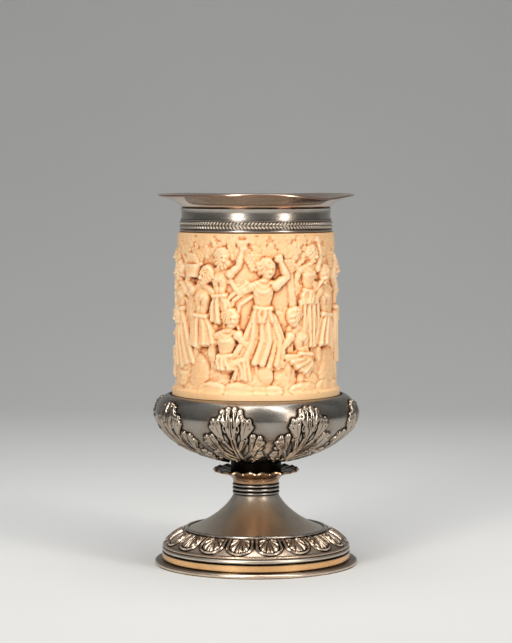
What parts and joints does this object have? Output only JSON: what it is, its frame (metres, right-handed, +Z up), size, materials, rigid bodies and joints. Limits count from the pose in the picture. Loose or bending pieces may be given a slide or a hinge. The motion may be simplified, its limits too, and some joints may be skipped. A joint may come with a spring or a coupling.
{
  "type": "standing cup",
  "caption": "Carved ivory standing cup in silver mounts: acanthus-leaved bowl, lobed calyx, domed palmette foot and a flared silver liner that lifts out.",
  "frame": {"origin": "Centre of the foot's underside, on the surface that the cup stands on.", "axes": "+Z up the cup's axis. -Y is the front, the side seen in the picture, and +X is to the right of it."},
  "size_m": [0.1128, 0.1128, 0.2021],
  "materials": {
    "silver": "polished old silver, lightly tarnished",
    "cast_silver": "chased silver, dark in the hollows",
    "gilt_silver": "worn copper-toned gilding",
    "liner_silver": "polished, warm with wear",
    "ivory": "carved and waxed, amber in the hollows",
    "steel": "turned and threaded"
  },
  "bodies": {
    "cup": {"foot_ring": "silver", "gilt_band": "gilt_silver", "foot_moulding": "silver", "palmette_border": "cast_silver", "foot_dome": "silver", "dome_bead": "silver", "lower_reed": "silver", "middle_reed": "silver", "upper_reed": "silver", "calyx": "gilt_silver", "stem_drum": "silver", "bowl": "silver", "acanthus_leaf_1": "cast_silver", "acanthus_leaf_2": "cast_silver", "acanthus_leaf_3": "cast_silver", "acanthus_leaf_4": "cast_silver", "acanthus_leaf_5": "cast_silver", "acanthus_leaf_6": "cast_silver", "acanthus_leaf_7": "cast_silver", "acanthus_leaf_8": "cast_silver", "sleeve_seat": "silver", "ivory_sleeve": "ivory", "rim_collar": "silver", "collar_bead": "silver", "lower_braid": "cast_silver", "upper_braid": "cast_silver", "collar_fillet": "silver", "tie_bolt": "steel", "tie_washer": "steel", "tie_nut": "steel"},
    "liner": {"liner": "liner_silver"}
  },
  "joints": [
    {"name": "liner_lift", "type": "slide", "parent": "cup", "child": "liner", "axis": [0, 0, 1], "range_m": [0, 0.115]}
  ]
}
